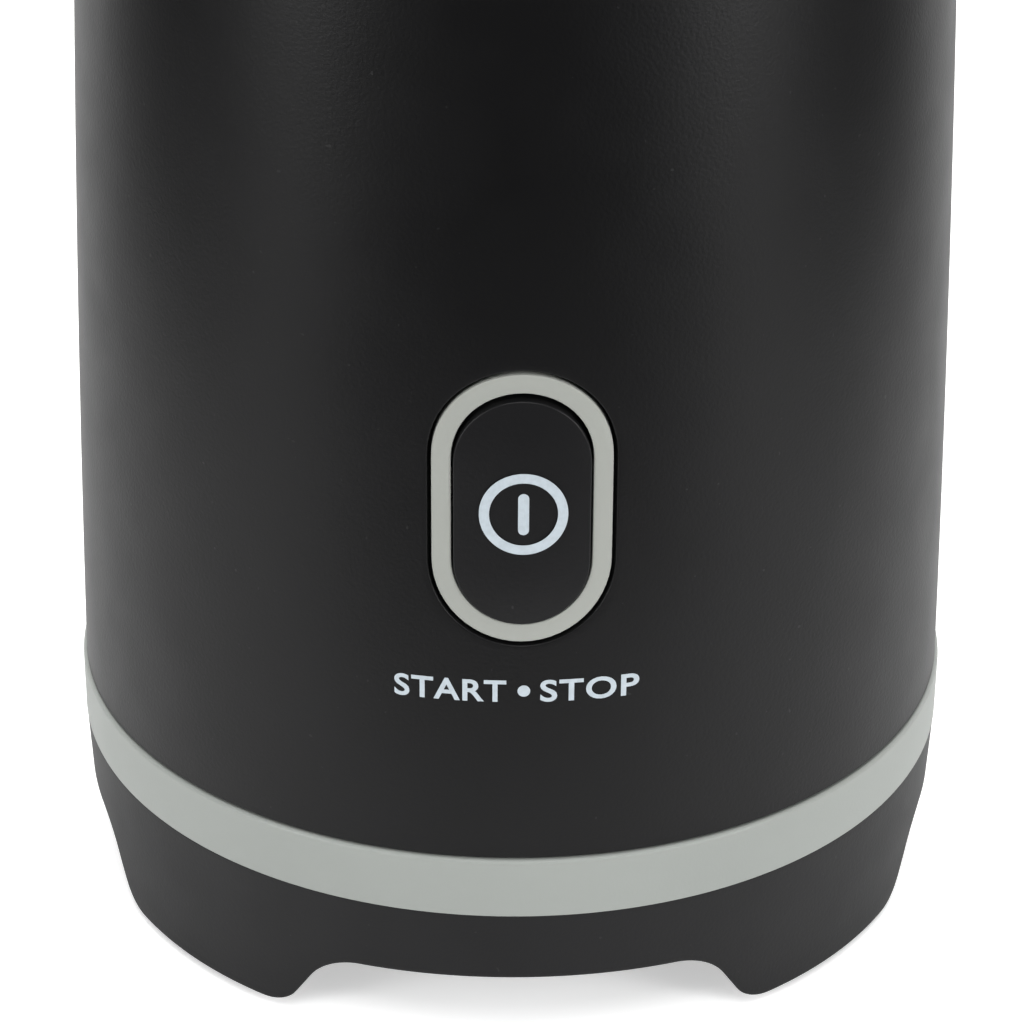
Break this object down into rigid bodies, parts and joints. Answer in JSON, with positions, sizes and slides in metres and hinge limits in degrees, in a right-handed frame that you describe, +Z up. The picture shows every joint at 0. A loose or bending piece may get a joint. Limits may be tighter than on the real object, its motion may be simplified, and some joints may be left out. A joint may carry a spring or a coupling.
{
  "type": "milk frother",
  "caption": "One-piece electric milk frother: tapered black body on a four-footed base with a grey band, front push button, fixed steel cup, magnetic whisk and lift-off lid.",
  "frame": {"origin": "on the axis of the body, at the surface it stands on", "axes": "+Z up along the body's axis; the front, with the button, faces -Y"},
  "size_m": [0.0992, 0.0992, 0.196],
  "materials": {
    "black_plastic": "fine satin texture, soft to the touch",
    "grey_plastic": "satin light grey, lightly warm",
    "button_plastic": "satin black, with a printed power symbol",
    "inner_plastic": "moulded dark grey",
    "steel": "brushed stainless",
    "dark_metal": "dark plated",
    "brass": "sintered",
    "silicone": "matt silicone",
    "rubber": "matt black rubber",
    "clear": "clear moulded window",
    "board_green": "solder mask green",
    "cream_plastic": "natural nylon"
  },
  "bodies": {
    "base": {"housing": "black_plastic", "base_skirt": "black_plastic", "trim_band": "grey_plastic", "button_ring": "grey_plastic", "bottom_cover": "inner_plastic", "button_guide": "inner_plastic", "micro_switch": "inner_plastic", "motor_bracket": "inner_plastic", "relay": "inner_plastic", "cup": "steel", "whisk_post": "steel", "heat_shield": "steel", "heater_ring": "steel", "button_spring": "steel", "cover_screw_1": "steel", "cover_screw_2": "steel", "cover_screw_3": "steel", "cover_screw_4": "steel", "power_board_screw_1": "steel", "power_board_screw_2": "steel", "power_board_screw_3": "steel", "bracket_screw_1": "steel", "bracket_screw_2": "steel", "bracket_screw_3": "steel", "motor_screw_1": "steel", "motor_screw_2": "steel", "button_board_screw_1": "steel", "button_board_screw_2": "steel", "motor_can": "dark_metal", "field_magnet_1": "dark_metal", "field_magnet_2": "dark_metal", "capacitor": "dark_metal", "motor_bush": "brass", "cup_seal": "silicone", "foot_pad_1": "rubber", "foot_pad_2": "rubber", "foot_pad_3": "rubber", "foot_pad_4": "rubber", "cord_gland": "rubber", "power_board": "board_green", "button_board": "board_green", "motor_end_cap": "cream_plastic", "thermostat": "cream_plastic", "terminal_block": "cream_plastic"},
    "button": {"button_cap": "button_plastic"},
    "plunger": {"switch_plunger": "cream_plastic"},
    "rotor": {"magnet_carrier": "inner_plastic", "drive_magnet_1": "steel", "drive_magnet_2": "steel", "motor_shaft": "steel", "armature": "dark_metal"},
    "whisk": {"whisk_hub": "inner_plastic", "whisk_coil": "steel", "whisk_magnet_1": "steel", "whisk_magnet_2": "steel"},
    "lid": {"lid_shell": "black_plastic", "lid_seal": "silicone", "lid_window": "clear", "lid_knob": "black_plastic", "knob_screw": "steel"}
  },
  "joints": [
    {"name": "button_press", "type": "slide", "parent": "base", "child": "button", "axis": [0, 1, 0], "range_m": [0, 0.0015], "stiffness_N_per_m": 200, "springref_m": -0.005, "deforming": ["button_spring"]},
    {"name": "plunger_press", "type": "slide", "parent": "base", "child": "plunger", "axis": [0, 1, 0], "range_m": [0, 0.0015]},
    {"name": "motor_spin", "type": "hinge", "parent": "base", "child": "rotor", "pos_m": [0, 0, 0.06], "axis": [0, 0, 1], "continuous": true},
    {"name": "whisk_spin", "type": "hinge", "parent": "base", "child": "whisk", "pos_m": [0, 0, 0.09], "axis": [0, 0, 1], "continuous": true},
    {"name": "lid_lift", "type": "slide", "parent": "base", "child": "lid", "axis": [0, 0, 1], "range_m": [0, 0.06]}
  ],
  "couplings": [
    {"joint": "plunger_press", "follows": "button_press", "ratio": 1},
    {"joint": "whisk_spin", "follows": "motor_spin", "ratio": 1}
  ]
}
